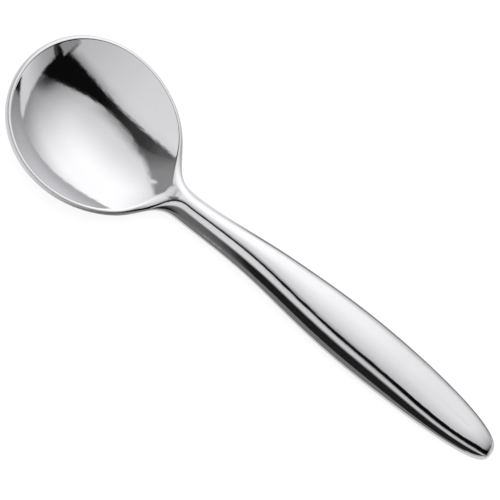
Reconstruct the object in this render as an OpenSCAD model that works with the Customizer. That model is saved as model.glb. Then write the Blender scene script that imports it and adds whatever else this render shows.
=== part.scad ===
// A round-bowl soup spoon, lying on a table on its bowl and the end of its handle.
// The real spoon is one piece of steel; it is drawn as its two named regions, which
// meet face to face across the narrowest place of the neck.

/* [Overall] */
// Length of the spoon, from the bowl's tip to the handle's end, measured along the rim
spoon_len = 165; // [150:1:185]

/* [Bowl] */
// Length of the bowl's oval, from its tip to where it would close at the neck
bowl_len = 51.8; // [46:0.2:58]
// Width of the bowl over its rim
bowl_w = 51; // [45:0.2:57]
// How much the oval narrows from its middle toward the neck, as a share of its width
egg_share = 0.065; // [0:0.005:0.1]
// Depth of the inside below the top of the rim
bowl_depth = 8.8; // [8:0.1:13]
// How far the bowl's deepest place lies from the middle of its oval, toward the tip
deep_shift = 2; // [0:0.1:4]
// Thickness of the bowl's wall at its middle
bowl_wall = 1.4; // [1:0.05:2]
// Share by which the sides stand steeper near the rim than a plain round dish
wall_steep_share = 0.1; // [0:0.05:0.3]

/* [Rim] */
// Width of the rounded band between the outline and the inner edge of the rim
rim_band = 1.2; // [0.8:0.05:1.8]
// Height of the rim's top above its edge line
rim_crown = 0.7; // [0.4:0.05:1.1]
// Depth of the rim's underside below its edge line
rim_under = 0.7; // [0.4:0.05:1.1]

/* [Neck] */
// Width of the neck at its narrowest place
neck_w = 9.6; // [7.5:0.1:12]
// Distance from the end of the bowl's oval to the narrowest place of the neck
neck_gap = 6.2; // [5:0.1:9]
// Height of the neck's crown above its edge line
neck_crown = 3.8; // [2.4:0.1:5]
// Depth of the neck's underside below its edge line
neck_under = 1.6; // [1:0.1:2.6]
// Radius, roughly, of the hollow that blends the neck's underside into the bowl
heel_blend = 3; // [1.5:0.1:5]
// How far the bowl's inner edge is drawn in where it meets the neck
neck_lip = 0.4; // [0:0.1:1.5]

/* [Handle] */
// Width of the handle at its widest place
handle_w = 17.9; // [14:0.1:22]
// Distance from the widest place of the handle to its end
taper_len = 45.8; // [36:0.2:56]
// Height of the handle's crown above its edge line, where it is fullest
handle_crown = 4.8; // [3:0.1:6]
// Height of the handle's crown above its edge line, at the end
end_crown = 2.9; // [2:0.1:4]
// Depth of the handle's underside below its edge line
handle_under = 1.1; // [0.6:0.1:2]

/* [Side profile] */
// How far the edge line dips below the rim on its way into the neck
dip_drop = 1.6; // [0:0.1:2.5]
// How far the edge line climbs along the shank, behind the neck
shank_rise = 5.1; // [3:0.1:8]
// How far the edge line climbs along the whole handle, on top of the shank's climb
arch_rise = 5.8; // [3:0.1:9]

/* [Hidden] */

// Half sizes
bowl_a = bowl_len / 2;
bowl_b = bowl_w / 2;
neck_half = neck_w / 2;
handle_half = handle_w / 2;

// Places along the spoon; zero is the middle of the bowl's oval, at the rim
tip_x = -bowl_a;
end_x = tip_x + spoon_len;
neck_x = bowl_a + neck_gap;
widest_x = end_x - taper_len;

// Runs of the edge line's three slopes, as distances before and after the neck
dip_lead = 21.5;
dip_lag = 0.4;
shank_lead = 11.6;
shank_run = 46.5;
arch_lead = 3.4;
arch_run = 126.4;

// Where the rim's band starts to widen into the neck, before the neck's narrowest place
shoulder_lead = 15;
// Where the crown climbs from the rim's to the neck's, from before to just behind that place
rise_lead = 10.6;
rise_lag = 0.4;
// Where the drawing in of the inner edge starts, before that place
lip_lead = 18;
// Where the handle's crown reaches its full height, behind the neck
crown_run = 55;
crown_x = neck_x + crown_run;

// The rounded inside corners where the neck runs into the rim
fillet_angle = 35;
fillet_pull_bowl = 6.8;
fillet_pull_neck = 5.8;

// Rounding of the sections' tops and of the underside: 2 is an ellipse, more is fuller
rim_power = 2;
neck_power = 1.75;
handle_power = 2.25;
under_power = 2;
// Fullness of the handle's outline from its widest place to its end
end_power = 2.9;
// Distance over which the inner edge of the rim is rounded
edge_blend = 0.4;
// Distance from the handle's end to the middle of its rounded end
fan_len = 11;
// How far above the lowest place of the round underside the table cuts the two flat feet
foot_depth = 0.12;

// Numbers of stations round the outline, and the rings between its middle and its edge
oval_stations = 40;
fillet_stations = 20;
shank_stations = 34;
end_stations = 22;
top_ring_shares = [0.12, 0.3, 0.46, 0.6, 0.72, 0.81, 0.87, 0.91, 0.935, 0.95, 0.965, 0.982, 0.994];
under_ring_shares = [0.05, 0.12, 0.3, 0.5, 0.68, 0.81, 0.89, 0.94, 0.97, 0.99];
// Points looked at along each region to find what touches the table
keel_points = 60;

// Smooth step from 0 to 1 as x runs from a to b, level at both ends
function unit(x) = min(max(x, 0), 1);
function ease(u) = u * u * u * (u * (6 * u - 15) + 10);
function step(x, a, b) = ease(unit((x - a) / (b - a)));
function mix(a, b, share) = a + (b - a) * share;
// The lower of a and b, rounded off where they cross, over the distance k
function blend_gap(a, b, k) = max(k - abs(a - b), 0) / k;
function low(a, b, k) = min(a, b) - pow(blend_gap(a, b, k), 3) * k / 6;
// Height of a rounded section, 0 at its edge and 1 from its reach inward
function swell(share, power) = pow(1 - pow(1 - unit(share), power), 1 / power);

// Half width of the neck and handle
function growth(x) = mix(neck_half, handle_half, pow(sin(90 * unit((x - neck_x) / (widest_x - neck_x))), 2));
function taper(x) = pow(max(1 - pow(unit((x - widest_x) / taper_len), 2), 0), 1 / end_power);
function half_w(x) = growth(x) * taper(x);

// Height of the edge line, where the top and the underside meet
function edge_z(x) =
    -dip_drop * step(x, neck_x - dip_lead, neck_x + dip_lag)
    + shank_rise * step(x, neck_x - shank_lead, neck_x - shank_lead + shank_run)
    + arch_rise * step(x, neck_x - arch_lead, neck_x - arch_lead + arch_run);

// The section changes from the rim's to the neck's along the shoulder, then to the handle's
function shoulder(x) = step(x, neck_x - shoulder_lead, neck_x);
function along(x) = step(x, neck_x, crown_x);
function section(x, at_rim, at_neck, at_handle) = mix(mix(at_rim, at_neck, shoulder(x)), at_handle, along(x));
function neck_rise(x) = mix(rim_crown, neck_crown, step(x, neck_x - rise_lead, neck_x + rise_lag));
function crown(x) = mix(mix(neck_rise(x), handle_crown, along(x)), end_crown, step(x, crown_x, end_x));
function under(x) = section(x, rim_under, neck_under, handle_under);
function power(x) = section(x, rim_power, neck_power, handle_power);
function reach(x) = mix(rim_band, neck_half, shoulder(x));

// The bowl's dish: 0 at its deepest place and 1 on its own oval, whose size is a share of the rim's.
// The deepest place is moved toward the tip, and the oval stays where it is.
function oval_y(x, y) = y / (bowl_b * (1 - egg_share * x / bowl_a));
function plain_share(x, y, size_share) = norm([x / bowl_a, oval_y(x, y)]) / size_share;
function moved_x(x, y, size_share) = x + deep_shift * (1 - pow(plain_share(x, y, size_share), 2));
function oval_share(x, y, size_share) =
    norm([moved_x(x, y, size_share) / bowl_a, oval_y(x, y)]) / size_share;
function dish(share) = share * share * (1 + wall_steep_share * (share * share - 1));
inner_share = 1 - rim_band / bowl_b;
outer_lift = edge_blend;
function lip_x(x) = x + neck_lip * step(x, neck_x - lip_lead, bowl_a);
function inside_z(x, y) = edge_z(x) + rim_crown
    - bowl_depth * (1 - dish(oval_share(lip_x(x), y, inner_share)));
function outside_z(x, y) = edge_z(x) + outer_lift
    - (bowl_depth + bowl_wall - rim_crown + outer_lift) * (1 - dish(oval_share(x, y, 1)));

// Top and underside at a point: share runs from 0 on the middle line to 1 on the outline,
// and inset is the distance from the outline as a share of the section's reach
function top_z(x, y, inset) =
    low(edge_z(x) + crown(x) * swell(inset, power(x)), inside_z(x, y), edge_blend);
function heel(x, share) = mix(edge_blend, heel_blend, shoulder(x) * (1 - pow(share, 4)));
function under_z(x, y, share, inset) =
    low(edge_z(x) - under(x) * swell(inset, under_power), outside_z(x, y), heel(x, share));

// Half of the outline, from the bowl's tip to the neck
function oval_point(angle) = [bowl_a * cos(angle), bowl_b * sin(angle) * (1 - egg_share * cos(angle))];
fillet_a = oval_point(fillet_angle);
fillet_way = oval_point(fillet_angle - 1) - oval_point(fillet_angle + 1);
fillet_b = fillet_a + fillet_way / norm(fillet_way) * fillet_pull_bowl;
fillet_d = [neck_x, neck_half];
fillet_c = fillet_d - [fillet_pull_neck, 0];
function fillet_point(u) = pow(1 - u, 3) * fillet_a + 3 * pow(1 - u, 2) * u * fillet_b
    + 3 * (1 - u) * u * u * fillet_c + pow(u, 3) * fillet_d;

// Rays run from the middle line to the outline. Each is its foot on the middle line and its
// point on the outline, and both lists of rays run from the free end of their region to the neck.
// In the bowl the feet start well inside the tip and hurry toward the neck.
oval_way_share = 0.65;
foot_share = 0.5;
even_share = 0.3;
function foot_x(way) = mix(foot_share * tip_x, neck_x, way * mix(even_share, 1, way));
bowl_rays = [
    for (i = [0:oval_stations - 1])
        let (way = oval_way_share * i / oval_stations)
            [foot_x(way), oval_point(mix(180, fillet_angle, i / oval_stations))],
    for (i = [0:fillet_stations])
        let (way = mix(oval_way_share, 1, i / fillet_stations)) [foot_x(way), fillet_point(i / fillet_stations)]
];
handle_rays = [
    for (i = [end_stations:-1:1])
        let (turn = 90 * i / end_stations, x = widest_x + taper_len * sin(turn))
            [x - fan_len * pow(sin(turn), 3), [x, half_w(x)]],
    for (i = [shank_stations:-1:0])
        let (x = mix(neck_x, widest_x, i / shank_stations)) [x, [x, half_w(x)]]
];

// How squarely a ray meets the outline, from the outline's points on either side of it
function outline_way(rays, i) = rays[min(i + 1, len(rays) - 1)][1] - rays[max(i - 1, 0)][1];
function ray_way(ray) = ray[1] - [ray[0], 0];
function squareness(rays, i) =
    let (a = outline_way(rays, i), b = ray_way(rays[i])) abs(cross(a, b)) / (norm(a) * norm(b));
// Inset of the points on a ray, as a share of the reach: in the handle the reach is the half width
function bowl_inset(rays, i, share, x) =
    (1 - share) * norm(ray_way(rays[i])) * (i == 0 ? 1 : squareness(rays, i)) / reach(x);

// A point of the spoon, in the frame of the rim; side is 1 or -1
function point_at(rays, in_bowl, i, share, on_top, side) =
    let (
        x = mix(rays[i][0], rays[i][1][0], share),
        y = rays[i][1][1] * share,
        inset = in_bowl ? bowl_inset(rays, i, share, x) : 1 - share,
        x_of_section = in_bowl ? x : rays[i][0],
        lift = in_bowl ? 0 : edge_z(x) - edge_z(x_of_section),
        z = on_top ? top_z(x_of_section, y, inset) : under_z(x_of_section, y, share, inset)
    ) [x, side * y, z + lift];

// The table touches the bowl and the handle: the pitch that lays both on it is found by
// turning the spoon, step by step, until the two lowest places of the middle line are level
fan_x = end_x - fan_len;
function end_z(x) = edge_z(x) - under(fan_x) * swell((end_x - x) / fan_len, under_power);
function points_along(a, b) = [for (i = [0:keel_points]) mix(a, b, i / keel_points)];
bowl_keel = [for (x = points_along(tip_x, bowl_a)) [x, outside_z(x, 0)]];
handle_keel = concat(
    [for (x = points_along(widest_x, fan_x)) [x, edge_z(x) - under(x)]],
    [for (x = points_along(fan_x, end_x)) [x, end_z(x)]]
);
function turned_z(p, pitch) = p[1] * cos(pitch) - p[0] * sin(pitch);
function lowest(keel, pitch) = min([for (p = keel) turned_z(p, pitch)]);
function level_pitch(pitch, steps) = steps == 0 ? pitch
    : level_pitch(pitch + atan((lowest(handle_keel, pitch) - lowest(bowl_keel, pitch)) / spoon_len), steps - 1);
rest_pitch = level_pitch(0, 12);
table_z = lowest(bowl_keel, rest_pitch) + foot_depth;
function turned_x(p, pitch) = p[0] * cos(pitch) + p[1] * sin(pitch);
tip_turned = turned_x([tip_x, edge_z(tip_x)], rest_pitch);
end_turned = turned_x([end_x, edge_z(end_x)], rest_pitch);
middle_x = (tip_turned + end_turned) / 2;
function rest_point(p) = [
    turned_x([p[0], p[2]], rest_pitch) - middle_x,
    p[1],
    turned_z([p[0], p[2]], rest_pitch) - table_z
];

// Closed skin over a set of rays: rings of points run round the outline from one side of the
// neck to the other, a strip along the middle closes each face, and one flat face closes the neck
module skin(rays, in_bowl) {
    last = len(rays) - 1;
    around = 2 * last + 1;
    rings = [
        for (share = top_ring_shares) [share, true],
        [1, true],
        for (k = [len(under_ring_shares) - 1:-1:0]) [under_ring_shares[k], false]
    ];
    ring_last = len(rings) - 1;
    points = [
        for (ring = rings)
            for (k = [0:around - 1])
                rest_point(point_at(rays, in_bowl, abs(last - k), ring[0], ring[1], sign(last - k)))
    ];
    function at(j, k) = j * around + k;
    walls = [
        for (j = [0:ring_last - 1])
            for (k = [0:around - 2])
                each [[at(j, k), at(j, k + 1), at(j + 1, k)], [at(j, k + 1), at(j + 1, k + 1), at(j + 1, k)]]
    ];
    strip = [
        for (k = [0:last - 1])
            each (k == last - 1
                ? [[k, around - 1 - k, k + 1]]
                : [[k, around - 1 - k, k + 1], [k + 1, around - 1 - k, around - 2 - k]])
    ];
    base = [for (f = strip) [for (k = [2:-1:0]) at(ring_last, f[k])]];
    neck = [
        each [for (j = [0:ring_last]) at(j, 0)],
        each [for (j = [ring_last:-1:0]) at(j, around - 1)]
    ];
    faces = concat(walls, strip, base, [neck]);
    polyhedron(points, in_bowl ? faces : [for (f = faces) [for (k = [len(f) - 1:-1:0]) f[k]]]);
}

// Everything below the table is cut away, which leaves a flat foot on each region
module above_table() {
    difference() {
        children();
        translate([-spoon_len, -bowl_w, -bowl_depth])
            cube([2 * spoon_len, 2 * bowl_w, bowl_depth]);
    }
}

module bowl() {
    color("gainsboro")
        above_table()
            skin(bowl_rays, true);
}

module handle() {
    color("silver")
        above_table()
            skin(handle_rays, false);
}

bowl();
handle();
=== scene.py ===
"""A round-bowl soup spoon of polished steel, lying on a pale floor in soft studio light.

The two regions of the spoon, bowl and handle, are surfaces worked out from the same sizes and
formulas as the construction model. Lengths are metres. The rim frame has its zero at the middle
of the bowl's oval at rim height, +X toward the handle's end and +Z up; the rest frame is the
spoon as it lies on the floor.
"""
import math
from typing import NamedTuple

import bpy
import numpy as np
from bpy.props import FloatProperty, FloatVectorProperty, PointerProperty
from mathutils import Matrix, Vector


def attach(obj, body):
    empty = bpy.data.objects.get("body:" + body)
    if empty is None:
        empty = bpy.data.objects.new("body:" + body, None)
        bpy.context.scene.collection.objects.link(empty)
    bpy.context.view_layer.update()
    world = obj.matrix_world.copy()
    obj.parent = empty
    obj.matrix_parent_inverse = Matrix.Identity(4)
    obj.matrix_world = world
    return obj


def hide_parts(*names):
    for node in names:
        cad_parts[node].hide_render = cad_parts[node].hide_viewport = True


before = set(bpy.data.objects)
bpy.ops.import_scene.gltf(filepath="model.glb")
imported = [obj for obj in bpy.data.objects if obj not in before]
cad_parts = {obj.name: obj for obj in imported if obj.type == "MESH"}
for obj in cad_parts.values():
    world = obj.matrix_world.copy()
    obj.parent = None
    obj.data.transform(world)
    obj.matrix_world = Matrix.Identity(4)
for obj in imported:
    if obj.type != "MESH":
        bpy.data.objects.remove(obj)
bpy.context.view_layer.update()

bl_info = {
    "name": "Round-bowl soup spoon",
    "version": (1, 0, 0),
    "blender": (4, 5, 0),
    "location": "View3D > Sidebar > Spoon",
    "description": "Makes a polished steel soup spoon and its studio stage",
    "category": "Add Mesh",
}

MM = 0.001
BODY = "root"
STEEL_LOOK = "spoon_polish"
EDGE_MARK = "rim_edge"

# Numbers of mesh columns from the free end to the neck, and rows from the middle line of the
# top over the edge to the middle line of the underside
BOWL_COLUMNS = 300
HANDLE_COLUMNS = 300
BOWL_ROWS = 156
HANDLE_ROWS = 120

# Shares of the way along a region's outline at which it changes curve: from the oval to the
# bowl's corner, and from the shank to the handle's rounded end
OVAL_WAY_SHARE = 0.65
SHANK_WAY_SHARE = 0.6
# Where the bowl's rays start on the middle line: at the tip, and how evenly they move on
RAY_FOOT_SHARE = 0.5
RAY_EVEN_SHARE = 0.3
# Steps of the search for the pitch, and points looked at along each keel
PITCH_STEPS = 12
KEEL_POINTS = 400
# Share of the way out to the rim where its ground edge starts and is full, and share of the way
# along the outline where it fades before the neck
EDGE_START, EDGE_FULL = 0.955, 0.98
EDGE_FADE, EDGE_END = 0.85, 1.0
# Small steps in way and turn over which the surface is differenced for its normals, and how far
# turn then keeps from the two middle lines
WAY_STEP = 2e-5
TURN_STEP = 2e-5
TURN_MARGIN = 1e-3
# Least length of a normal, which keeps a division from failing
SMALLEST = 1e-30
# Least sine of a direction's angle from overhead, which keeps a division from failing
LEAST_SINE = 1e-6
# Values of the cloud noise at which a duller cloud starts and is full
CLOUD_START, CLOUD_FULL = 0.42, 0.68
# Width of the camera's sensor in millimetres, and the nearest and furthest distance that it sees
SENSOR_WIDTH = 36.0
CLIP_NEAR, CLIP_FAR = 0.05, 20.0
WHITE = (1.0, 1.0, 1.0)


def size(name, about, millimetres):
    """A length property, given in millimetres and kept in metres."""
    return FloatProperty(name=name, description=about, default=millimetres * MM, unit="LENGTH", precision=5)


def share(name, about, value):
    """A plain number between 0 and 1."""
    return FloatProperty(name=name, description=about, default=value, min=0.0, max=1.0, subtype="FACTOR")


def number(name, about, value):
    """A plain number that may pass 1."""
    return FloatProperty(name=name, description=about, default=value)


def angle(name, about, degrees):
    """An angle, given in degrees."""
    return FloatProperty(name=name, description=about, default=math.radians(degrees), unit="ROTATION")


class SpoonSizes(bpy.types.PropertyGroup):
    """Driving sizes of the spoon, the same as in the construction model."""

    spoon_len: size("Spoon length", "From the bowl's tip to the handle's end, along the rim", 165)
    bowl_len: size("Bowl length", "Length of the bowl's oval", 51.8)
    bowl_w: size("Bowl width", "Width of the bowl over its rim", 51)
    egg_share: share("Egg", "How much the oval narrows toward the neck", 0.065)
    bowl_depth: size("Bowl depth", "Depth of the inside below the top of the rim", 8.8)
    deep_shift: size("Deepest place", "From the oval's middle to the deepest place, toward the tip", 2)
    bowl_wall: size("Bowl wall", "Thickness of the wall at the bowl's middle", 1.4)
    wall_steep_share: share("Wall steepness", "How much steeper the sides stand near the rim", 0.1)
    rim_band: size("Rim band", "Width of the rounded band round the rim", 1.2)
    rim_crown: size("Rim crown", "Height of the rim's top above its edge line", 0.7)
    rim_under: size("Rim underside", "Depth of the rim's underside below its edge line", 0.7)
    neck_w: size("Neck width", "Width of the neck at its narrowest place", 9.6)
    neck_gap: size("Neck gap", "From the end of the bowl's oval to the narrowest place", 6.2)
    neck_crown: size("Neck crown", "Height of the neck's crown above its edge line", 3.8)
    neck_under: size("Neck underside", "Depth of the neck's underside below its edge line", 1.6)
    heel_blend: size("Heel blend", "Radius of the hollow that joins the neck to the bowl", 3)
    neck_lip: size("Neck lip", "How far the inner edge is drawn in where it meets the neck", 0.4)
    handle_w: size("Handle width", "Width of the handle at its widest place", 17.9)
    taper_len: size("Taper length", "From the handle's widest place to its end", 45.8)
    handle_crown: size("Handle crown", "Height of the handle's crown at its fullest place", 4.8)
    end_crown: size("End crown", "Height of the handle's crown at its end", 2.9)
    handle_under: size("Handle underside", "Depth of the handle's underside below its edge line", 1.1)
    dip_drop: size("Neck dip", "How far the edge line dips on its way into the neck", 1.6)
    shank_rise: size("Shank rise", "How far the edge line climbs along the shank", 5.1)
    arch_rise: size("Arch rise", "How far the edge line climbs along the whole handle", 5.8)
    dip_lead: size("Dip start", "How far before the neck the dip starts", 21.5)
    dip_lag: size("Dip end", "How far behind the neck the dip ends", 0.4)
    shank_lead: size("Shank start", "How far before the neck the shank's climb starts", 11.6)
    shank_run: size("Shank run", "Length of the shank's climb", 46.5)
    arch_lead: size("Arch start", "How far before the neck the handle's climb starts", 3.4)
    arch_run: size("Arch run", "Length of the handle's climb", 126.4)
    shoulder_lead: size("Shoulder start", "How far before the neck the rim starts to thicken", 15)
    rise_lead: size("Rise start", "How far before the neck the crown starts to climb", 10.6)
    rise_lag: size("Rise end", "How far behind the neck that climb ends", 0.4)
    lip_lead: size("Lip start", "How far before the neck the drawing in of the inner edge starts", 18)
    crown_run: size("Crown run", "How far behind the neck the crown is fullest", 55)
    fillet_angle: angle("Fillet angle", "Where round the oval the inside corner of the neck starts", 35)
    fillet_pull_bowl: size("Fillet pull, bowl", "Pull of the corner's curve at the bowl", 6.8)
    fillet_pull_neck: size("Fillet pull, neck", "Pull of the corner's curve at the neck", 5.8)
    rim_power: number("Rim fullness", "Rounding of the rim's section; 2 is an ellipse", 2)
    neck_power: number("Neck fullness", "Rounding of the neck's crown; 2 is an ellipse", 1.75)
    handle_power: number("Handle fullness", "Rounding of the handle's crown; 2 is an ellipse", 2.25)
    under_power: number("Underside fullness", "Rounding of the underside; 2 is an ellipse", 2)
    end_power: number("End fullness", "Fullness of the outline toward the handle's end", 2.9)
    edge_blend: size("Inner edge", "Distance over which the rim's inner edge is rounded", 0.4)
    fan_len: size("End fan", "From the handle's end to the middle of its rounded end", 11)
    foot_depth: size("Foot depth", "How far the two flat feet are cut into the round underside", 0.12)


class SpoonFinish(bpy.types.PropertyGroup):
    """Look of the polished steel."""

    steel: FloatVectorProperty(
        name="Steel", description="Colour of the clean polished steel", default=(0.557, 0.557, 0.57),
        size=3, subtype="COLOR", min=0.0, max=1.0)
    steel_worn: FloatVectorProperty(
        name="Handled steel", description="Colour where the polish is a little duller",
        default=(0.535, 0.535, 0.547), size=3, subtype="COLOR", min=0.0, max=1.0)
    roughness: share("Roughness", "Roughness of the clean polish", 0.03)
    roughness_worn: share("Handled roughness", "Roughness where the polish is duller", 0.07)
    edge_roughness: share("Rim roughness", "Added roughness on the rim's ground outer edge", 0.42)
    cloud_scale: number("Cloud scale", "Number of dull clouds in a metre", 38)
    grain_across: number("Grain across", "Polishing lines in a metre, across the spoon", 2600)
    grain_along: number("Grain along", "Polishing lines in a metre, along the spoon", 60)
    grain_height: size("Grain height", "Height of the polishing lines", 0.005)
    wave_scale: number("Wave scale", "Ripples of the polished surface in a metre", 420)
    wave_height: size("Wave height", "Height of the ripples", 0.014)


class SpoonStage(bpy.types.PropertyGroup):
    """Camera, floor and light."""

    azimuth: angle("Azimuth", "Camera's bearing; 0 looks along +Y", -4.212)
    elevation: angle("Elevation", "Camera's height above the horizon", 58.484)
    roll: angle("Roll", "Turn of the camera about its own axis", 41.466)
    distance: size("Distance", "From the camera to its target", 570.136)
    target: FloatVectorProperty(
        name="Target", description="Point in the middle of the picture", size=3, subtype="TRANSLATION",
        default=(-4.092 * MM, 1.018 * MM, 5.448 * MM), precision=5)
    lens: number("Lens", "Focal length in millimetres on a 36 mm sensor", 152.0)
    floor_size: size("Floor size", "Side of the square floor", 4000)
    floor_colour: FloatVectorProperty(
        name="Floor", description="Colour of the floor", default=(0.26, 0.26, 0.26), size=3, subtype="COLOR",
        min=0.0, max=1.0)
    floor_glow: number("Floor glow", "Light that comes up through the floor, as on a light table", 0.78)
    sky_gain: number("Sky gain", "Brightness of the studio's white light", 1.8)
    lamp_power: number("Lamp power", "Power of the overhead lamp, in watts", 12)
    lamp_height: size("Lamp height", "Height of the overhead lamp", 1500)
    lamp_size: size("Lamp size", "Side of the overhead lamp", 1600)
    flag_height: size("Flag height", "Height of the dark card beside the handle", 30)
    flag_start: size("Flag start", "Where the near cards start, along the spoon", -34)
    flag_end: size("Flag end", "Where all cards end, along the spoon", 170)
    flag_inner: size("Flag inner edge", "How near the dark card comes to the spoon's middle line", -18)
    flag_outer: size("Flag outer edge", "How far the near cards reach toward the camera", -125)
    flag_soft: size("Flag softness", "Width over which the cards' edges fade", 8)
    flag_tone: number("Flag tone", "Brightness of the dark card", 0.02)
    flag_pale: size("Flag pale end", "From the cards' start to where the dark card is fully dark", 28)
    # Grey of the two grey cards on the near side: painted shade of the floor on the camera's side, seen only
    # in reflections; the dark card also starts with this grey
    shade_card_tone: number("Card tone", "Brightness of the grey cards under and behind the dark one", 0.3)
    card_lift: size("Card lift", "Height of the lying grey cards above the floor", 0.5)
    # Card on the far side: painted shade of the floor beside the handle, seen only in reflections, darker
    # toward the handle's end
    far_start: size("Far card start", "Where the card on the far side starts, along the spoon", -20)
    far_inner: size("Far card inner edge", "How near the card on the far side comes to the middle line", 7)
    far_outer: size("Far card outer edge", "How far that card reaches away from the camera", 70)
    far_shade_tone: number("Far card tone", "Brightness of the card on the far side", 0.42)
    far_end_shade_tone: number("Far card end tone", "Brightness of that card beyond the handle's end", 0.1)
    far_dim_start: size("Far card dim start", "Where that card starts to dim, along the spoon", 56.7)
    far_dim_end: size("Far card dim end", "Where that card has dimmed, along the spoon", 94.4)


def unit(x):
    """x held between 0 and 1."""
    return np.clip(x, 0.0, 1.0)


def ease(u):
    """u cubed times (6 u squared - 15 u + 10): a step from 0 to 1 that is level at both ends."""
    return u * u * u * (u * (6.0 * u - 15.0) + 10.0)


def step(x, start, end):
    """Smooth step from 0 to 1 as x runs from start to end."""
    return ease(unit((x - start) / (end - start)))


def mix(a, b, portion):
    """a plus that portion of the way to b."""
    return a + (b - a) * portion


def low(a, b, reach):
    """The lower of a and b, less the cube of how nearly they are equal: a rounded crossing."""
    near = np.maximum(reach - np.abs(a - b), 0.0) / reach
    return np.minimum(a, b) - near**3 * reach / 6.0


def swell(inset, power):
    """Height of a superellipse, 0 at its edge and 1 from its full reach inward."""
    return (1.0 - (1.0 - unit(inset)) ** power) ** (1.0 / power)


class SpoonForm:
    """The spoon's surface as a function of two parameters.

    way runs along a region's outline: for the bowl from the tip (0) to the neck (1), for the
    handle from the neck (0) to the end (1). turn runs across the section, from the middle line of
    the top (0) over the edge (a quarter turn) to the middle line of the underside (half a turn).
    """

    def __init__(self, sizes):
        self.s = sizes
        self.bowl_a = sizes.bowl_len / 2
        self.bowl_b = sizes.bowl_w / 2
        self.neck_half = sizes.neck_w / 2
        self.handle_half = sizes.handle_w / 2
        self.tip_x = -self.bowl_a
        self.end_x = self.tip_x + sizes.spoon_len
        self.neck_x = self.bowl_a + sizes.neck_gap
        self.widest_x = self.end_x - sizes.taper_len
        self.inner_share = 1.0 - sizes.rim_band / self.bowl_b
        self.settle()

    def half_width(self, x):
        """Half width of neck and handle: a sine-squared growth times a superellipse taper."""
        s = self.s
        rise = np.sin(math.pi / 2 * unit((x - self.neck_x) / (self.widest_x - self.neck_x))) ** 2
        fall = np.maximum(1.0 - unit((x - self.widest_x) / s.taper_len) ** 2, 0.0) ** (1.0 / s.end_power)
        return mix(self.neck_half, self.handle_half, rise) * fall

    def edge_z(self, x):
        """Height of the edge line: a dip into the neck, the shank's climb and the long arch."""
        s = self.s
        dip = step(x, self.neck_x - s.dip_lead, self.neck_x + s.dip_lag)
        shank = step(x, self.neck_x - s.shank_lead, self.neck_x - s.shank_lead + s.shank_run)
        arch = step(x, self.neck_x - s.arch_lead, self.neck_x - s.arch_lead + s.arch_run)
        return -s.dip_drop * dip + s.shank_rise * shank + s.arch_rise * arch

    def shoulder(self, x):
        """0 on the rim, 1 from the neck onward."""
        return step(x, self.neck_x - self.s.shoulder_lead, self.neck_x)

    def along(self, x):
        """0 at the neck, 1 where the handle's crown is fullest."""
        return step(x, self.neck_x, self.neck_x + self.s.crown_run)

    def crown(self, x):
        """Height of the top above the edge line: rim, then neck, then handle, then end."""
        s = self.s
        rise = step(x, self.neck_x - s.rise_lead, self.neck_x + s.rise_lag)
        to_handle = mix(mix(s.rim_crown, s.neck_crown, rise), s.handle_crown, self.along(x))
        return mix(to_handle, s.end_crown, step(x, self.neck_x + s.crown_run, self.end_x))

    def under(self, x):
        """Depth of the underside below the edge line."""
        s = self.s
        return mix(mix(s.rim_under, s.neck_under, self.shoulder(x)), s.handle_under, self.along(x))

    def power(self, x):
        """Fullness of the top's section."""
        s = self.s
        return mix(mix(s.rim_power, s.neck_power, self.shoulder(x)), s.handle_power, self.along(x))

    def oval_share(self, x, y, size_share):
        """0 at the bowl's deepest place and 1 on an oval of that share of the rim's size.

        The oval is an ellipse narrowed toward the neck; inside it, x is moved on by a distance
        that falls from the full shift at the middle to nothing on the oval.
        """
        across = y / (self.bowl_b * (1.0 - self.s.egg_share * x / self.bowl_a))
        plain = np.hypot(x / self.bowl_a, across) / size_share
        moved = x + self.s.deep_shift * (1.0 - plain**2)
        return np.hypot(moved / self.bowl_a, across) / size_share

    def dish(self, portion):
        """Rise of the bowl's wall: the square of the portion, with a fourth-power share added."""
        return portion**2 * (1.0 + self.s.wall_steep_share * (portion**2 - 1.0))

    def inside_z(self, x, y):
        """Height of the bowl's inside, whose oval is drawn in a little toward the neck."""
        s = self.s
        drawn_x = x + s.neck_lip * step(x, self.neck_x - s.lip_lead, self.bowl_a)
        hollow = 1.0 - self.dish(self.oval_share(drawn_x, y, self.inner_share))
        return self.edge_z(x) + s.rim_crown - s.bowl_depth * hollow

    def outside_z(self, x, y):
        """Height of the bowl's outside, which crosses the edge line a blend's width inside it."""
        s = self.s
        depth = s.bowl_depth + s.bowl_wall - s.rim_crown + s.edge_blend
        return self.edge_z(x) + s.edge_blend - depth * (1.0 - self.dish(self.oval_share(x, y, 1.0)))

    def top_z(self, x, y, inset):
        """The lower of the rounded band and the bowl's inside."""
        band = self.edge_z(x) + self.crown(x) * swell(inset, self.power(x))
        return low(band, self.inside_z(x, y), self.s.edge_blend)

    def under_z(self, x, y, portion, inset):
        """The lower of the rounded underside and the bowl's outside, hollowed at the heel."""
        s = self.s
        band = self.edge_z(x) - self.under(x) * swell(inset, s.under_power)
        heel = mix(s.edge_blend, s.heel_blend, self.shoulder(x) * (1.0 - portion**4))
        return low(band, self.outside_z(x, y), heel)

    def oval_point(self, turn):
        """Point on the bowl's outline: an ellipse, narrowed toward the neck."""
        x = self.bowl_a * np.cos(turn)
        y = self.bowl_b * np.sin(turn) * (1.0 - self.s.egg_share * np.cos(turn))
        return np.stack([x, y], -1)

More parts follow.
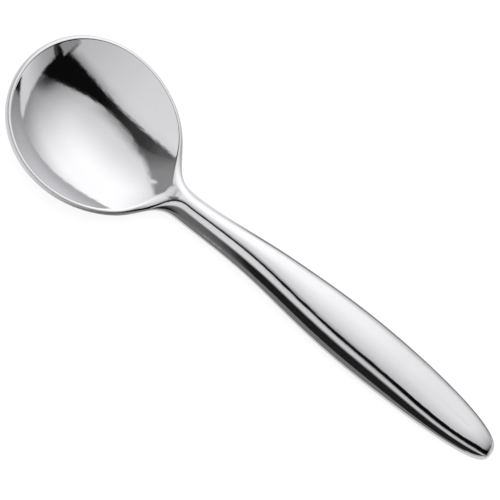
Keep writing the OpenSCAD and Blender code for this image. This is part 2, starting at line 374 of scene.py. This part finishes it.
    def bowl_ray(self, way):
        """Foot on the middle line and point on the outline: the oval, then a cubic Bezier corner."""
        s = self.s
        one_degree = math.radians(1)
        start = self.oval_point(s.fillet_angle)
        heading = self.oval_point(s.fillet_angle - one_degree) - self.oval_point(s.fillet_angle + one_degree)
        pull_out = start + heading / np.linalg.norm(heading) * s.fillet_pull_bowl
        end = np.array([self.neck_x, self.neck_half])
        pull_in = end - np.array([s.fillet_pull_neck, 0.0])
        turn = mix(math.pi, s.fillet_angle, unit(way / OVAL_WAY_SHARE))
        u = unit((way - OVAL_WAY_SHARE) / (1.0 - OVAL_WAY_SHARE))[..., None]
        v = 1.0 - u
        corner = v**3 * start + 3 * v * v * u * pull_out + 3 * v * u * u * pull_in + u**3 * end
        foot = mix(RAY_FOOT_SHARE * self.tip_x, self.neck_x, way * mix(RAY_EVEN_SHARE, 1.0, way))
        return foot, np.where(u > 0.0, corner, self.oval_point(turn))

    def handle_ray(self, way):
        """Foot and outline point: square to the axis, then a fan whose foot lags by sine cubed."""
        s = self.s
        turn = unit((way - SHANK_WAY_SHARE) / (1.0 - SHANK_WAY_SHARE)) * math.pi / 2
        shank = mix(self.neck_x, self.widest_x, unit(way / SHANK_WAY_SHARE))
        x = np.where(way < SHANK_WAY_SHARE, shank, self.widest_x + s.taper_len * np.sin(turn))
        return x - s.fan_len * np.sin(turn) ** 3, np.stack([x, self.half_width(x)], -1)

    def bowl_inset(self, way, foot, rim, portion, x):
        """Distance from the outline, measured square to it, as a share of the section's reach."""
        after = self.bowl_ray(np.minimum(way + WAY_STEP, 1.0))[1]
        before = self.bowl_ray(np.maximum(way - WAY_STEP, 0.0))[1]
        heading = np.where((way <= WAY_STEP)[..., None], np.array([0.0, 1.0]), after - before)
        ray = rim - np.stack([foot, np.zeros_like(foot)], -1)
        square = np.abs(heading[..., 0] * ray[..., 1] - heading[..., 1] * ray[..., 0])
        reach = mix(self.s.rim_band, self.neck_half, self.shoulder(x))
        return (1.0 - portion) * square / np.linalg.norm(heading, axis=-1) / reach

    def point(self, way, turn, in_bowl):
        """Point of the skin: along the ray by the sine of turn, at the height of top or underside."""
        foot, rim = self.bowl_ray(way) if in_bowl else self.handle_ray(way)
        portion = np.sin(turn)
        x = mix(foot, rim[..., 0], portion)
        y = rim[..., 1] * portion
        section_x = x if in_bowl else foot
        inset = self.bowl_inset(way, foot, rim, portion, x) if in_bowl else 1.0 - portion
        top = self.top_z(section_x, y, inset)
        under = self.under_z(section_x, y, portion, inset)
        z = np.where(turn <= math.pi / 2, top, under) + self.edge_z(x) - self.edge_z(section_x)
        return np.stack([x, y, z], -1)

    def normal(self, way, turn, in_bowl):
        """Outward normal: the cross product of the skin's differences along way and along turn."""
        turned = np.clip(turn, TURN_MARGIN, math.pi - TURN_MARGIN)
        ahead = self.point(np.minimum(way + WAY_STEP, 1.0), turned, in_bowl)
        along = ahead - self.point(np.maximum(way - WAY_STEP, 0.0), turned, in_bowl)
        across = self.point(way, turned + TURN_STEP, in_bowl) - self.point(way, turned - TURN_STEP, in_bowl)
        free_end = way <= 0.0 if in_bowl else way >= 1.0
        sideways = np.array([0.0, 1.0 if in_bowl else -1.0, 0.0])
        along = np.where(free_end[..., None], sideways, along)
        normal = np.cross(along, across)
        on_middle = (turn <= 0.0) | (turn >= math.pi)
        normal = np.where(on_middle[..., None], normal * np.array([1.0, 0.0, 1.0]), normal)
        return normal / np.maximum(np.linalg.norm(normal, axis=-1, keepdims=True), SMALLEST)

    def turned(self, vectors):
        """Vectors of the rim frame, pitched about Y into the rest frame."""
        cosine, sine = math.cos(self.pitch), math.sin(self.pitch)
        x, y, z = vectors[..., 0], vectors[..., 1], vectors[..., 2]
        return np.stack([x * cosine + z * sine, y, z * cosine - x * sine], -1)

    def at_rest(self, points):
        """Points of the rim frame, as the spoon lies on the floor; the feet are cut flat at 0."""
        lying = self.turned(points) - np.array([self.middle_x, 0.0, self.table_z])
        lying[..., 2] = np.maximum(lying[..., 2], 0.0)
        return lying

    def settle(self):
        """Finds the pitch at which the lowest places of bowl and handle are level."""
        s = self.s
        x = np.linspace(self.tip_x, self.bowl_a, KEEL_POINTS)
        bowl_keel = np.stack([x, 0 * x, self.outside_z(x, 0 * x)], -1)
        way = np.linspace(SHANK_WAY_SHARE, 1.0, KEEL_POINTS)
        back = self.point(way, np.full_like(way, math.pi), False)
        end_turns = np.linspace(math.pi / 2, math.pi, KEEL_POINTS)
        end = self.point(np.ones_like(end_turns), end_turns, False)
        handle_keel = np.concatenate([back, end])
        self.pitch = 0.0
        for _ in range(PITCH_STEPS):
            drop = self.turned(handle_keel)[:, 2].min() - self.turned(bowl_keel)[:, 2].min()
            self.pitch += math.atan(drop / s.spoon_len)
        self.table_z = self.turned(bowl_keel)[:, 2].min() + s.foot_depth
        ends = np.array([[x, 0.0, float(self.edge_z(x))] for x in (self.tip_x, self.end_x)])
        self.middle_x = self.turned(ends)[:, 0].mean()


def ground_edge(way, turn):
    """Share of the rim's ground edge: full near a quarter turn, fading out before the neck."""
    return step(np.sin(turn), EDGE_START, EDGE_FULL) * (1.0 - step(way, EDGE_FADE, EDGE_END))


def skin_arrays(form, columns, rows, in_bowl):
    """Vertices, normals, share of ground edge, faces and closing faces of one region.

    A grid of the skin function, mirrored across the middle: columns run round the outline from
    one side of the neck over the free end to the other side, rows run from the middle line of
    the top to that of the underside, and both middle lines are shared by the two halves. The
    neck is closed by one strip of faces between the halves.
    """
    way = np.linspace(0.0, 1.0, columns + 1)[:, None]
    turn = np.linspace(0.0, math.pi, rows + 1)[None, :]
    way, turn = np.broadcast_arrays(way, turn)
    points = form.at_rest(form.point(way, turn, in_bowl))
    normals = form.turned(form.normal(way, turn, in_bowl))
    edge = ground_edge(way, turn) if in_bowl else np.zeros(way.shape)
    if not in_bowl:
        points, normals = points[::-1], normals[::-1]
    flat = points[..., 2] <= 0.0
    normals = np.where(flat[..., None] & (normals[..., 2:] < 0.0), np.array([0.0, 0.0, -1.0]), normals)
    mirror = np.array([1.0, -1.0, 1.0])
    left = np.arange((columns + 1) * (rows + 1)).reshape(columns + 1, rows + 1)
    fresh = left.size + np.arange(columns * (rows - 1)).reshape(columns, rows - 1)
    right = left.copy()
    right[1:, 1:-1] = fresh
    vertices = np.concatenate([points.reshape(-1, 3), (points[1:, 1:-1] * mirror).reshape(-1, 3)])
    vertex_normals = np.concatenate([normals.reshape(-1, 3), (normals[1:, 1:-1] * mirror).reshape(-1, 3)])
    edge = np.concatenate([edge.reshape(-1), edge[1:, 1:-1].reshape(-1)])
    loop = np.concatenate([right[::-1], left[1:]])
    a, b, c, d = loop[:-1, :-1], loop[1:, :-1], loop[1:, 1:], loop[:-1, 1:]
    quads = np.stack([a, b, c, d], -1).reshape(-1, 4)
    near, far = left[-1], right[-1]
    cap = np.stack([near[:-1], far[:-1], far[1:], near[1:]], -1)
    if not in_bowl:
        quads, cap = quads[:, ::-1], cap[:, ::-1]
    return vertices, vertex_normals, edge, quads, cap


def without_repeats(quad):
    """A face's corners with repeated ones dropped: the ends of a strip are triangles."""
    return [int(v) for i, v in enumerate(quad) if v not in quad[:i]]


def region(name, form, columns, rows, in_bowl, material):
    """Makes one region of the spoon as a closed mesh, with the skin's own normals."""
    vertices, normals, edge, quads, cap = skin_arrays(form, columns, rows, in_bowl)
    ends = [without_repeats(cap[0]), without_repeats(cap[-1])]
    faces = quads.tolist() + cap[1:-1].tolist() + ends
    mesh = bpy.data.meshes.new(name)
    mesh.from_pydata(vertices.tolist(), [], faces)
    mesh.attributes.new(EDGE_MARK, "FLOAT", "POINT").data.foreach_set("value", edge)
    mesh.polygons.foreach_set("use_smooth", np.ones(len(faces), dtype=bool))
    corner_vertex = np.empty(len(mesh.loops), dtype=np.int32)
    mesh.loops.foreach_get("vertex_index", corner_vertex)
    corner_normals = normals[corner_vertex]
    corner_normals[quads.size:] = form.turned(np.array([1.0 if in_bowl else -1.0, 0.0, 0.0]))
    mesh.update()
    mesh.normals_split_custom_set(corner_normals.tolist())
    mesh.materials.append(material)
    piece = bpy.data.objects.new(name, mesh)
    bpy.context.scene.collection.objects.link(piece)
    return piece


class NodeTree:
    """Short hand for adding and linking shader nodes."""

    def __init__(self, tree):
        self.tree = tree
        tree.nodes.clear()

    def add(self, kind, inputs=None, **settings):
        """A new node with its inputs fed and its settings made."""
        node = self.tree.nodes.new(kind)
        for key, value in settings.items():
            setattr(node, key, value)
        for key, value in (inputs or {}).items():
            self.feed(node.inputs[key], value)
        return node

    def feed(self, socket, value):
        """Links an output into the socket, or sets the socket's own value."""
        if isinstance(value, bpy.types.NodeSocket):
            self.tree.links.new(value, socket)
        else:
            socket.default_value = value

    def math(self, operation, a, b=0.0):
        """Result of a sum or function of one or two values."""
        return self.add("ShaderNodeMath", {0: a, 1: b}, operation=operation).outputs[0]

    def blend(self, portion, a, b):
        """Colour a where portion is 0 and b where it is 1."""
        node = self.add("ShaderNodeMix", data_type="RGBA")
        self.feed(node.inputs["Factor"], portion)
        self.feed(node.inputs[6], a)
        self.feed(node.inputs[7], b)
        return node.outputs[2]

    def soft_step(self, value, start, end):
        """Smooth step from 0 to 1 as value runs from start to end."""
        node = self.add("ShaderNodeMapRange", interpolation_type="SMOOTHSTEP")
        self.feed(node.inputs["Value"], value)
        node.inputs["From Min"].default_value = start
        node.inputs["From Max"].default_value = end
        return node.outputs["Result"]


def opaque(colour):
    """An RGB colour with full alpha."""
    return (*colour, 1.0)


def new_material(name):
    """A material with a node tree."""
    material = bpy.data.materials.new(name)
    material.use_nodes = True
    return material


def polished_steel(finish):
    """Polished steel: soft clouds of duller polish, fine lines along the spoon, faint ripples.

    Roughness is a mix of two values by the clouds, plus a share on the rim's ground edge.
    """
    material = new_material(STEEL_LOOK)
    net = NodeTree(material.node_tree)
    place = net.add("ShaderNodeTexCoord").outputs["Object"]
    clouds = net.add("ShaderNodeTexNoise", {"Vector": place, "Scale": finish.cloud_scale, "Detail": 4.0})
    dull = net.soft_step(clouds.outputs["Fac"], CLOUD_START, CLOUD_FULL)
    grain_scale = (finish.grain_along, finish.grain_across, finish.grain_across)
    stretched = net.add("ShaderNodeMapping", {"Vector": place, "Scale": grain_scale})
    grain = net.add("ShaderNodeTexNoise", {"Vector": stretched.outputs[0], "Scale": 1.0, "Detail": 3.0})
    ripples = net.add("ShaderNodeTexNoise", {"Vector": place, "Scale": finish.wave_scale, "Detail": 1.0})
    colour = net.blend(dull, opaque(finish.steel), opaque(finish.steel_worn))
    rough = net.math("MULTIPLY_ADD", dull, finish.roughness_worn - finish.roughness)
    rough.node.inputs[2].default_value = finish.roughness
    edge = net.add("ShaderNodeAttribute", attribute_name=EDGE_MARK).outputs["Fac"]
    rough = net.math("ADD", rough, net.math("MULTIPLY", edge, finish.edge_roughness))
    wave_bump = net.add(
        "ShaderNodeBump",
        {"Height": ripples.outputs["Fac"], "Strength": 1.0, "Distance": finish.wave_height})
    grain_bump = net.add(
        "ShaderNodeBump",
        {"Height": grain.outputs["Fac"], "Strength": 1.0, "Distance": finish.grain_height,
         "Normal": wave_bump.outputs[0]})
    shader = net.add(
        "ShaderNodeBsdfPrincipled",
        {"Base Color": colour, "Metallic": 1.0, "Roughness": rough, "Normal": grain_bump.outputs[0]})
    net.add("ShaderNodeOutputMaterial", {"Surface": shader.outputs[0]})
    return material


def spoon_steel(scene):
    """The one steel that both regions share."""
    return bpy.data.materials.get(STEEL_LOOK) or polished_steel(scene.spoon_finish)


class Wire:
    """A shader value that is added, subtracted and multiplied like a number."""

    def __init__(self, net, socket):
        self.net = net
        self.socket = socket

    def combine(self, operation, a, b):
        """One math node over two values, each a wire or a number."""
        a, b = (part.socket if isinstance(part, Wire) else part for part in (a, b))
        return Wire(self.net, self.net.math(operation, a, b))

    def __add__(self, other):
        return self.combine("ADD", self, other)

    def __sub__(self, other):
        return self.combine("SUBTRACT", self, other)

    def __rsub__(self, other):
        return self.combine("SUBTRACT", other, self)

    def __mul__(self, other):
        return self.combine("MULTIPLY", self, other)

    def __neg__(self):
        return self * -1.0

    __radd__ = __add__
    __rmul__ = __mul__

    def smooth(self, start, end):
        """Smooth step from 0 to 1 as this value runs from start to end."""
        return Wire(self.net, self.net.soft_step(self.socket, start, end))


class Fade(NamedTuple):
    """A smooth change of tone, from first to last, while an angle runs from start to end."""

    first: float
    last: float
    start: float
    end: float


# The studio's lights. Angles are degrees from overhead: u toward the handle's end and v toward
# the camera. Tones are as the polished steel shows them. An edge is a polynomial in an angle,
# lowest power first, and a pair is the start and end of a smooth step.

# Half width of a light's soft edge, and the near light's own soft edge
EDGE_SOFT = 1.2
NEAR_SOFT = (-1.2, 2.0)

# Edge of the far light: a curve about a middle, and a straight line on the tip's side
FAR_EDGE_MIDDLE = 6.0
FAR_EDGE = (-1.6, 0.0, -0.0102, 0.000028)
TIP_EDGE = (-21.6, -0.41)
TIP_EDGE_TURN = (-27.0, -22.0)
# Edge of the near light, a curve about a middle
NEAR_EDGE_MIDDLE = 28.0
NEAR_EDGE = (8.4, 0.0, -0.0035, -0.000045, -0.00000068)

# Far light over the angle from its edge, which is lifted toward both ends
FAR_LIFT_HANDLE = Fade(0.0, 22.0, -2.0, 40.0)
FAR_LIFT_TIP = Fade(0.0, 4.0, -10.0, -30.0)
FAR_UP = Fade(0.66, 0.99, 10.0, 50.0)
# How it dims toward the handle's end, in its outer corner and toward the tip
FAR_DIM_HANDLE = Fade(1.0, 0.2, -5.0, 75.0)
FAR_DIM_CORNER = Fade(1.0, 0.6, 70.0, 98.0)
FAR_CORNER_SLOPE = 0.4
FAR_DIM_TIP = Fade(0.55, 1.0, -46.0, -22.0)
# How it dims close to the gap on the tip's side, and in a wedge on the handle's side
FAR_DIM_GAP = Fade(0.45, 1.0, 0.0, 12.0)
FAR_GAP_CLEAR = (0.0, 24.0)
WEDGE = Fade(0.15, 1.0, 0.0, 26.0)
WEDGE_TURN = (46.0, 60.0)
WEDGE_WEAKER = Fade(1.0, 0.4, 61.0, 67.0)

# Grey screen beyond a sloping edge on the bowl's side, with a round gap in its edge
SCREEN = Fade(0.24, 0.09, -68.0, -37.0)
SCREEN_SLOPE = 1.2
SCREEN_EDGE = (34.0, 44.0)
SCREEN_EDGE_SLOPE = 2.3
SCREEN_GAP_U, SCREEN_GAP_V = -33.0, -34.0
SCREEN_GAP_SQUARE = (0.0, 8.0)

# Near light, and the share by which it dims close to the gap
NEAR = Fade(0.70, 0.48, -40.0, 70.0)
NEAR_DIM = Fade(0.15, 0.75, -12.0, 30.0)
NEAR_DIM_END = (-4.0, 10.0)

# The dark gap, paler toward the tip
GAP = Fade(0.034, 0.003, -24.0, 14.0)
GAP_TIP_TONE = 0.09
GAP_TIP_TURN = (-30.0, -23.0)

# Panel beyond a curved edge on the handle's side, with bands of another tone one after another
PANEL = Fade(0.30, 0.63, -16.0, -62.0)
PANEL_BANDS = ((0.045, -16.4, -14.8), (0.006, -12.6, -10.8), (0.25, -7.4, -5.4))
PANEL_EDGE_MIDDLE = -8.0
PANEL_EDGE = (71.5, 0.0, -0.0056)

# Small grey lens beside the panel, and its dark outline
LENS_TONE = 0.25
LENS_V_START, LENS_V_END = (-6.4, -4.8), (14.0, 10.0)
LENS_U = (66.2, 67.0)
OUTLINE_START, OUTLINE_END = (63.4, 64.8), (67.4, 66.6)
OUTLINE_DIM = 0.6

# Plain light on the tip's side
TIP_TONE = 0.68
TIP_TURN = (-43.0, -39.0)


def curve(x, coefficients):
    """Polynomial of x, worked out from the highest power down."""
    total = coefficients[-1]
    for coefficient in reversed(coefficients[:-1]):
        total = total * x + coefficient
    return total


class StudioLight:
    """Brightness of the studio, as the polished steel shows it, in one direction.

    A dark gap runs across overhead between the far light, which dims toward the handle's end,
    and the near light. A grey screen stands on the bowl's side. Beyond a curved edge on the
    handle's side hangs a light panel with a dark notch under it, and beside the notch a small
    grey lens. Plain light closes the tip's side.
    """

    def __init__(self, u, v, smooth):
        self.u = u
        self.v = v
        self.smooth = smooth
        far_edge = curve(u - FAR_EDGE_MIDDLE, FAR_EDGE)
        far_edge = mix(curve(u, TIP_EDGE), far_edge, smooth(u, *TIP_EDGE_TURN))
        self.far = far_edge - v
        self.near = v - curve(u - NEAR_EDGE_MIDDLE, NEAR_EDGE)

    def tone(self, fade, angle):
        """Tone of a fade at an angle."""
        return mix(fade.first, fade.last, self.smooth(angle, fade.start, fade.end))

    def far_light(self):
        """Brighter away from the gap, darker toward the handle's end, the corner and the tip."""
        lift = self.tone(FAR_LIFT_HANDLE, self.u) + self.tone(FAR_LIFT_TIP, self.u)
        light = self.tone(FAR_UP, self.far + lift) * self.tone(FAR_DIM_HANDLE, self.u)
        corner = self.tone(FAR_DIM_CORNER, FAR_CORNER_SLOPE * self.u - self.v)
        light = light * corner * self.tone(FAR_DIM_TIP, self.u)
        light = light * mix(self.tone(FAR_DIM_GAP, self.far), 1.0, self.smooth(self.u, *FAR_GAP_CLEAR))
        wedge_share = self.smooth(self.u, *WEDGE_TURN) * self.tone(WEDGE_WEAKER, self.u)
        return light * mix(1.0, self.tone(WEDGE, self.far), wedge_share)

    def screened(self, light):
        """A light with the grey screen before it, but for the round gap."""
        screen = self.tone(SCREEN, self.v + SCREEN_SLOPE * self.u)
        beside = self.u - SCREEN_GAP_U
        below = self.v - SCREEN_GAP_V
        outside_gap = self.smooth(beside * beside + below * below, *SCREEN_GAP_SQUARE)
        beyond_edge = self.smooth(self.v - SCREEN_EDGE_SLOPE * self.u, *SCREEN_EDGE)
        return mix(light, screen, beyond_edge * outside_gap)

    def near_light(self):
        """Darker toward the handle's end and close to the gap."""
        dim = self.tone(NEAR_DIM, self.u) * (1.0 - self.smooth(self.near, *NEAR_DIM_END))
        return self.tone(NEAR, self.u) * (1.0 - dim)

    def gap(self):
        """Tone of the dark gap."""
        return mix(GAP_TIP_TONE, self.tone(GAP, self.u), self.smooth(self.u, *GAP_TIP_TURN))

    def panel(self):
        """Light panel that is cut by the notch's bands."""
        light = self.tone(PANEL, self.v)
        for tone, start, end in PANEL_BANDS:
            light = mix(light, tone, self.smooth(self.v, start, end))
        return light

    def with_lens(self, light):
        """A light with the small grey lens before it, and the lens's dark outline."""
        height = self.smooth(self.v, *LENS_V_START) * self.smooth(self.v, *LENS_V_END)
        light = mix(light, LENS_TONE, height * self.smooth(self.u, *LENS_U))
        outline = self.smooth(self.u, *OUTLINE_START) * self.smooth(self.u, *OUTLINE_END)
        return light * (1.0 - OUTLINE_DIM * height * outline)

    def brightness(self):
        """All lights, laid one over another."""
        in_gap = self.smooth(self.far, EDGE_SOFT, -EDGE_SOFT)
        light = mix(self.screened(self.far_light()), self.gap(), in_gap)
        beyond = self.u - curve(self.v - PANEL_EDGE_MIDDLE, PANEL_EDGE)
        light = mix(light, self.panel(), self.smooth(beyond, -EDGE_SOFT, EDGE_SOFT))
        light = self.with_lens(mix(light, self.near_light(), self.smooth(self.near, *NEAR_SOFT)))
        return mix(TIP_TONE, light, self.smooth(self.u, *TIP_TURN))


def studio_sky(world, gain):
    """The studio round the spoon for light and reflections, and a plain pale wall for the camera."""
    world.use_nodes = True
    net = NodeTree(world.node_tree)
    ray = net.add("ShaderNodeTexCoord").outputs["Generated"]
    part = net.add("ShaderNodeSeparateXYZ", {0: ray})
    x, y, z = (part.outputs[axis] for axis in "XYZ")
    from_overhead = net.math("DEGREES", net.math("ARCCOSINE", z))
    sine_squared = net.math("SUBTRACT", 1.0, net.math("MULTIPLY", z, z))
    sine = net.math("MAXIMUM", net.math("SQRT", sine_squared), LEAST_SINE)
    scale = net.math("DIVIDE", from_overhead, sine)
    u = Wire(net, net.math("MULTIPLY", x, scale))
    v = -Wire(net, net.math("MULTIPLY", y, scale))
    brightness = StudioLight(u, v, Wire.smooth).brightness() * gain
    seen = net.add("ShaderNodeLightPath").outputs["Is Camera Ray"]
    studio = net.add("ShaderNodeBackground", {"Color": brightness.socket, "Strength": 1.0})
    wall = net.add("ShaderNodeBackground", {"Color": opaque(WHITE), "Strength": 1.0})
    both = net.add("ShaderNodeMixShader", {0: seen, 1: studio.outputs[0], 2: wall.outputs[0]})
    net.add("ShaderNodeOutputWorld", {"Surface": both.outputs[0]})


def floor_material(colour, glow):
    """Pale matt floor lit a little from beneath, that is seen from above only."""
    material = new_material("pale_floor")
    net = NodeTree(material.node_tree)
    matt = net.add("ShaderNodeBsdfDiffuse", {"Color": opaque(colour)})
    lit = net.add("ShaderNodeEmission", {"Color": opaque(WHITE), "Strength": glow})
    table = net.add("ShaderNodeAddShader", {0: matt.outputs[0], 1: lit.outputs[0]})
    clear = net.add("ShaderNodeBsdfTransparent")
    side = net.add("ShaderNodeNewGeometry").outputs["Backfacing"]
    both = net.add("ShaderNodeMixShader", {0: side, 1: table.outputs[0], 2: clear.outputs[0]})
    net.add("ShaderNodeOutputMaterial", {"Surface": both.outputs[0]})
    return material


def level_corners(left, right, low_edge, high_edge, height):
    """Corners of a level rectangle that faces up."""
    outline = [(left, low_edge), (right, low_edge), (right, high_edge), (left, high_edge)]
    return [(x, y, height) for x, y in outline]


def sheet_of(name, corners, material):
    """A flat sheet through four corners, which isn't part of the spoon."""
    mesh = bpy.data.meshes.new(name)
    mesh.from_pydata(corners, [], [(0, 1, 2, 3)])
    mesh.materials.append(material)
    card = bpy.data.objects.new(name, mesh)
    bpy.context.scene.collection.objects.link(card)
    return card


def studio_card(name, corners, tone, fades, pale=None):
    """A card that only reflections show.

    fades lists axis, start and full place of each soft edge, whose smooth steps are multiplied.
    pale is the tone that the card has at one end, with the places along X between which it
    changes to its own tone.
    """
    material = new_material(name)
    net = NodeTree(material.node_tree)
    place = net.add("ShaderNodeSeparateXYZ", {0: net.add("ShaderNodeTexCoord").outputs["Object"]})
    edges = [Wire(net, place.outputs[axis]).smooth(start, full) for axis, start, full in fades]
    cover = math.prod(edges)
    if pale:
        end_tone, start, full = pale
        tone = mix(end_tone, tone, Wire(net, place.outputs["X"]).smooth(start, full)).socket
    glow = net.add("ShaderNodeEmission", {"Color": opaque(WHITE), "Strength": tone})
    clear = net.add("ShaderNodeBsdfTransparent")
    both = net.add("ShaderNodeMixShader", {0: cover.socket, 1: clear.outputs[0], 2: glow.outputs[0]})
    net.add("ShaderNodeOutputMaterial", {"Surface": both.outputs[0]})
    card = sheet_of(name, corners, material)
    card.visible_camera = False
    card.visible_diffuse = False
    card.visible_shadow = False
    card.visible_transmission = False


class SPOON_OT_bowl(bpy.types.Operator):
    """Make the bowl with its rim and shoulders."""

    bl_idname = "spoon.bowl"
    bl_label = "Make bowl"

    def execute(self, context):
        form = SpoonForm(context.scene.spoon_sizes)
        steel = spoon_steel(context.scene)
        piece = region("spoon_bowl", form, BOWL_COLUMNS, BOWL_ROWS, True, steel)
        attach(piece, BODY)
        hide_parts("bowl")
        return {"FINISHED"}


class SPOON_OT_handle(bpy.types.Operator):
    """Make the shank and the handle."""

    bl_idname = "spoon.handle"
    bl_label = "Make handle"

    def execute(self, context):
        form = SpoonForm(context.scene.spoon_sizes)
        steel = spoon_steel(context.scene)
        piece = region("spoon_handle", form, HANDLE_COLUMNS, HANDLE_ROWS, False, steel)
        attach(piece, BODY)
        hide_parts("handle")
        return {"FINISHED"}


class SPOON_OT_stage(bpy.types.Operator):
    """Make the floor, the light and the camera."""

    bl_idname = "spoon.stage"
    bl_label = "Make stage"

    def execute(self, context):
        stage = context.scene.spoon_stage
        half = stage.floor_size / 2
        floor = level_corners(-half, half, -half, half, 0.0)
        sheet_of("floor", floor, floor_material(stage.floor_colour, stage.floor_glow))
        self.hang_cards(stage)
        world = bpy.data.worlds.new("studio")
        context.scene.world = world
        studio_sky(world, stage.sky_gain)
        lamp_data = bpy.data.lights.new("overhead_lamp", "AREA")
        lamp_data.energy = stage.lamp_power
        lamp_data.size = stage.lamp_size
        lamp = bpy.data.objects.new("overhead_lamp", lamp_data)
        lamp.location = (0.0, 0.0, stage.lamp_height)
        lamp.visible_glossy = False
        context.scene.collection.objects.link(lamp)
        context.scene.view_settings.view_transform = "Standard"
        self.place_camera(context, stage)
        return {"FINISHED"}

    def hang_cards(self, stage):
        """Four cards beside the handle.

        A dark card lies at some height on the near side, with a grey one on the floor under it
        and a grey one standing behind it, both grey with painted shade of the floor on the camera's side; on
        the far side lies a card of painted shade of the floor beside the handle, which dims toward its end.
        """
        end, soft, lift = stage.flag_end, stage.flag_soft, stage.card_lift
        outer, height = stage.flag_outer, stage.flag_height
        left, near = stage.flag_start - soft / 2, stage.flag_inner + soft / 2
        side = ("X", left, left + soft)
        pale = (stage.shade_card_tone, stage.flag_start, stage.flag_start + stage.flag_pale)
        flag = level_corners(left, end, outer, near, height)
        studio_card("dark_card", flag, stage.flag_tone, [side, ("Y", near, near - soft)], pale)
        # Grey card on the floor and grey card standing behind the dark one: painted shade of the floor on
        # the camera's side, seen only in reflections
        ground = level_corners(left, end, outer, near, lift)
        studio_card("floor_shade_card", ground, stage.shade_card_tone, [side])
        back = [(left, outer, 0.0), (end, outer, 0.0), (end, outer, height), (left, outer, height)]
        studio_card("back_shade_card", back, stage.shade_card_tone, [side])
        # Card on the far side: painted shade of the floor beside the handle, seen only in reflections,
        # dimming toward the handle's end
        start, inner = stage.far_start, stage.far_inner
        far = level_corners(start, end, inner, stage.far_outer, lift)
        fades = [("X", start, start + 2 * soft), ("Y", inner, inner + soft)]
        dimming = (stage.far_shade_tone, stage.far_dim_start, stage.far_dim_end)
        studio_card("far_floor_shade_card", far, stage.far_end_shade_tone, fades, dimming)

    def place_camera(self, context, stage):
        """Sets the camera back from its target along its bearing and rolls it."""
        lens = bpy.data.cameras.new("camera")
        lens.lens = stage.lens
        lens.sensor_width = SENSOR_WIDTH
        lens.clip_start = CLIP_NEAR
        lens.clip_end = CLIP_FAR
        camera = bpy.data.objects.new("camera", lens)
        level = Vector((math.cos(stage.azimuth), math.sin(stage.azimuth), 0.0))
        outward = Vector((math.sin(stage.azimuth), -math.cos(stage.azimuth), 0.0))
        back = outward * math.cos(stage.elevation) + Vector((0.0, 0.0, math.sin(stage.elevation)))
        upward = back.cross(level)
        right = level * math.cos(stage.roll) + upward * math.sin(stage.roll)
        above = back.cross(right)
        turn = Matrix((right, above, back)).transposed().to_4x4()
        camera.matrix_world = Matrix.Translation(Vector(stage.target) + back * stage.distance) @ turn
        context.scene.collection.objects.link(camera)
        context.scene.camera = camera


MAKERS = (SPOON_OT_bowl, SPOON_OT_handle, SPOON_OT_stage)


class SPOON_PT_panel(bpy.types.Panel):
    """Lists the spoon's makers."""

    bl_idname = "SPOON_PT_panel"
    bl_label = "Soup spoon"
    bl_space_type = "VIEW_3D"
    bl_region_type = "UI"
    bl_category = "Spoon"

    def draw(self, context):
        for maker in MAKERS:
            self.layout.operator(maker.bl_idname)


CLASSES = (SpoonSizes, SpoonFinish, SpoonStage, *MAKERS, SPOON_PT_panel)


def register():
    """Registers the classes and gives each scene its sizes, finish and stage."""
    for each in CLASSES:
        bpy.utils.register_class(each)
    bpy.types.Scene.spoon_sizes = PointerProperty(type=SpoonSizes)
    bpy.types.Scene.spoon_finish = PointerProperty(type=SpoonFinish)
    bpy.types.Scene.spoon_stage = PointerProperty(type=SpoonStage)


def unregister():
    """Takes back what register did, in the opposite order."""
    del bpy.types.Scene.spoon_stage
    del bpy.types.Scene.spoon_finish
    del bpy.types.Scene.spoon_sizes
    for each in reversed(CLASSES):
        bpy.utils.unregister_class(each)


def main():
    """Makes the spoon and its stage."""
    register()
    bpy.ops.spoon.bowl()
    bpy.ops.spoon.handle()
    bpy.ops.spoon.stage()


if __name__ == "__main__":
    main()
